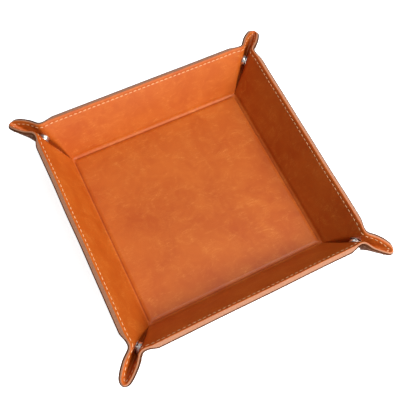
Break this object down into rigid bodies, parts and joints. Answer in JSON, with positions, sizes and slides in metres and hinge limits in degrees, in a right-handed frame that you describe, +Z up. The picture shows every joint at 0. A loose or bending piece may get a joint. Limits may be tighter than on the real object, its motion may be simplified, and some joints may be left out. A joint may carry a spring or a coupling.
{
  "type": "folding dice tray",
  "caption": "Shallow square leather tray: a flat sheet whose four walls fold up from the floor and whose corners fold into open ears held by snap fasteners.",
  "frame": {"origin": "middle of the underside of the floor, with the tray standing on it", "axes": "+X and +Y along the floor's edges, towards the east and north walls; +Z up"},
  "size_m": [0.2206, 0.2206, 0.0409],
  "materials": {
    "lining_leather": "smooth tan leather with a soft satin sheen",
    "backing_leather": "matt dark brown leather",
    "core_board": "raw fibre board",
    "snap_nickel": "nickel-plated, satin"
  },
  "bodies": {
    "base": {"floor_lining": "lining_leather", "floor_board": "core_board", "floor_backing": "backing_leather"},
    "wall_north": {"wall_north_lining": "lining_leather", "wall_north_board": "core_board", "wall_north_backing": "backing_leather"},
    "ear_ne_north": {"ear_ne_north_lining": "lining_leather", "ear_ne_north_backing": "backing_leather", "snap_ne_cap": "snap_nickel", "snap_ne_socket": "snap_nickel"},
    "pleat_ne_north": {"pleat_ne_north_strip": "lining_leather"},
    "ear_nw_north": {"ear_nw_north_lining": "lining_leather", "ear_nw_north_backing": "backing_leather", "snap_nw_cap": "snap_nickel", "snap_nw_socket": "snap_nickel"},
    "pleat_nw_north": {"pleat_nw_north_strip": "lining_leather"},
    "wall_east": {"wall_east_lining": "lining_leather", "wall_east_board": "core_board", "wall_east_backing": "backing_leather"},
    "ear_se_east": {"ear_se_east_lining": "lining_leather", "ear_se_east_backing": "backing_leather", "snap_se_stud": "snap_nickel", "snap_se_post": "snap_nickel"},
    "pleat_se_east": {"pleat_se_east_strip": "lining_leather"},
    "ear_ne_east": {"ear_ne_east_lining": "lining_leather", "ear_ne_east_backing": "backing_leather", "snap_ne_stud": "snap_nickel", "snap_ne_post": "snap_nickel"},
    "pleat_ne_east": {"pleat_ne_east_strip": "lining_leather"},
    "wall_south": {"wall_south_lining": "lining_leather", "wall_south_board": "core_board", "wall_south_backing": "backing_leather"},
    "ear_sw_south": {"ear_sw_south_lining": "lining_leather", "ear_sw_south_backing": "backing_leather", "snap_sw_cap": "snap_nickel", "snap_sw_socket": "snap_nickel"},
    "pleat_sw_south": {"pleat_sw_south_strip": "lining_leather"},
    "ear_se_south": {"ear_se_south_lining": "lining_leather", "ear_se_south_backing": "backing_leather", "snap_se_cap": "snap_nickel", "snap_se_socket": "snap_nickel"},
    "pleat_se_south": {"pleat_se_south_strip": "lining_leather"},
    "wall_west": {"wall_west_lining": "lining_leather", "wall_west_board": "core_board", "wall_west_backing": "backing_leather"},
    "ear_nw_west": {"ear_nw_west_lining": "lining_leather", "ear_nw_west_backing": "backing_leather", "snap_nw_stud": "snap_nickel", "snap_nw_post": "snap_nickel"},
    "pleat_nw_west": {"pleat_nw_west_strip": "lining_leather"},
    "ear_sw_west": {"ear_sw_west_lining": "lining_leather", "ear_sw_west_backing": "backing_leather", "snap_sw_stud": "snap_nickel", "snap_sw_post": "snap_nickel"},
    "pleat_sw_west": {"pleat_sw_west_strip": "lining_leather"}
  },
  "joints": [
    {"name": "wall_north_fold", "type": "hinge", "parent": "base", "child": "wall_north", "pos_m": [0, 0.074, 0.0044], "axis": [-1, 0, 0], "range_deg": [0, 63]},
    {"name": "ear_ne_north_fold", "type": "hinge", "parent": "wall_north", "child": "ear_ne_north", "pos_m": [0.074, 0.074, 0.0044], "axis": [-0.2944, -0.4494, -0.8434], "range_deg": [0, 50.05]},
    {"name": "pleat_ne_north_fold", "type": "hinge", "parent": "ear_ne_north", "child": "pleat_ne_north", "pos_m": [0.074, 0.074, 0.0044], "axis": [0.537, 0.6325, 0.5582], "range_deg": [0, 87.12]},
    {"name": "ear_nw_north_fold", "type": "hinge", "parent": "wall_north", "child": "ear_nw_north", "pos_m": [-0.074, 0.074, 0.0044], "axis": [-0.2944, 0.4494, 0.8434], "range_deg": [0, 50.05]},
    {"name": "pleat_nw_north_fold", "type": "hinge", "parent": "ear_nw_north", "child": "pleat_nw_north", "pos_m": [-0.074, 0.074, 0.0044], "axis": [0.537, -0.6325, -0.5582], "range_deg": [0, 87.12]},
    {"name": "wall_east_fold", "type": "hinge", "parent": "base", "child": "wall_east", "pos_m": [0.074, 0, 0.0044], "axis": [0, 1, 0], "range_deg": [0, 63]},
    {"name": "ear_se_east_fold", "type": "hinge", "parent": "wall_east", "child": "ear_se_east", "pos_m": [0.074, -0.074, 0.0044], "axis": [-0.4494, 0.2944, -0.8434], "range_deg": [0, 50.05]},
    {"name": "pleat_se_east_fold", "type": "hinge", "parent": "ear_se_east", "child": "pleat_se_east", "pos_m": [0.074, -0.074, 0.0044], "axis": [0.6325, -0.537, 0.5582], "range_deg": [0, 87.12]},
    {"name": "ear_ne_east_fold", "type": "hinge", "parent": "wall_east", "child": "ear_ne_east", "pos_m": [0.074, 0.074, 0.0044], "axis": [0.4494, 0.2944, 0.8434], "range_deg": [0, 50.05]},
    {"name": "pleat_ne_east_fold", "type": "hinge", "parent": "ear_ne_east", "child": "pleat_ne_east", "pos_m": [0.074, 0.074, 0.0044], "axis": [-0.6325, -0.537, -0.5582], "range_deg": [0, 87.12]},
    {"name": "wall_south_fold", "type": "hinge", "parent": "base", "child": "wall_south", "pos_m": [0, -0.074, 0.0044], "axis": [1, 0, 0], "range_deg": [0, 63]},
    {"name": "ear_sw_south_fold", "type": "hinge", "parent": "wall_south", "child": "ear_sw_south", "pos_m": [-0.074, -0.074, 0.0044], "axis": [0.2944, 0.4494, -0.8434], "range_deg": [0, 50.05]},
    {"name": "pleat_sw_south_fold", "type": "hinge", "parent": "ear_sw_south", "child": "pleat_sw_south", "pos_m": [-0.074, -0.074, 0.0044], "axis": [-0.537, -0.6325, 0.5582], "range_deg": [0, 87.12]},
    {"name": "ear_se_south_fold", "type": "hinge", "parent": "wall_south", "child": "ear_se_south", "pos_m": [0.074, -0.074, 0.0044], "axis": [0.2944, -0.4494, 0.8434], "range_deg": [0, 50.05]},
    {"name": "pleat_se_south_fold", "type": "hinge", "parent": "ear_se_south", "child": "pleat_se_south", "pos_m": [0.074, -0.074, 0.0044], "axis": [-0.537, 0.6325, -0.5582], "range_deg": [0, 87.12]},
    {"name": "wall_west_fold", "type": "hinge", "parent": "base", "child": "wall_west", "pos_m": [-0.074, 0, 0.0044], "axis": [0, -1, 0], "range_deg": [0, 63]},
    {"name": "ear_nw_west_fold", "type": "hinge", "parent": "wall_west", "child": "ear_nw_west", "pos_m": [-0.074, 0.074, 0.0044], "axis": [0.4494, -0.2944, -0.8434], "range_deg": [0, 50.05]},
    {"name": "pleat_nw_west_fold", "type": "hinge", "parent": "ear_nw_west", "child": "pleat_nw_west", "pos_m": [-0.074, 0.074, 0.0044], "axis": [-0.6325, 0.537, 0.5582], "range_deg": [0, 87.12]},
    {"name": "ear_sw_west_fold", "type": "hinge", "parent": "wall_west", "child": "ear_sw_west", "pos_m": [-0.074, -0.074, 0.0044], "axis": [-0.4494, -0.2944, 0.8434], "range_deg": [0, 50.05]},
    {"name": "pleat_sw_west_fold", "type": "hinge", "parent": "ear_sw_west", "child": "pleat_sw_west", "pos_m": [-0.074, -0.074, 0.0044], "axis": [0.6325, 0.537, -0.5582], "range_deg": [0, 87.12]}
  ],
  "couplings": [
    {"joint": "ear_ne_north_fold", "follows": "wall_north_fold", "ratio": 0.79447},
    {"joint": "pleat_ne_north_fold", "follows": "wall_north_fold", "ratio": 1.3829},
    {"joint": "ear_nw_north_fold", "follows": "wall_north_fold", "ratio": 0.79447},
    {"joint": "pleat_nw_north_fold", "follows": "wall_north_fold", "ratio": 1.3829},
    {"joint": "wall_east_fold", "follows": "wall_north_fold", "ratio": 1},
    {"joint": "ear_se_east_fold", "follows": "wall_north_fold", "ratio": 0.79447},
    {"joint": "pleat_se_east_fold", "follows": "wall_north_fold", "ratio": 1.3829},
    {"joint": "ear_ne_east_fold", "follows": "wall_north_fold", "ratio": 0.79447},
    {"joint": "pleat_ne_east_fold", "follows": "wall_north_fold", "ratio": 1.3829},
    {"joint": "wall_south_fold", "follows": "wall_north_fold", "ratio": 1},
    {"joint": "ear_sw_south_fold", "follows": "wall_north_fold", "ratio": 0.79447},
    {"joint": "pleat_sw_south_fold", "follows": "wall_north_fold", "ratio": 1.3829},
    {"joint": "ear_se_south_fold", "follows": "wall_north_fold", "ratio": 0.79447},
    {"joint": "pleat_se_south_fold", "follows": "wall_north_fold", "ratio": 1.3829},
    {"joint": "wall_west_fold", "follows": "wall_north_fold", "ratio": 1},
    {"joint": "ear_nw_west_fold", "follows": "wall_north_fold", "ratio": 0.79447},
    {"joint": "pleat_nw_west_fold", "follows": "wall_north_fold", "ratio": 1.3829},
    {"joint": "ear_sw_west_fold", "follows": "wall_north_fold", "ratio": 0.79447},
    {"joint": "pleat_sw_west_fold", "follows": "wall_north_fold", "ratio": 1.3829}
  ]
}
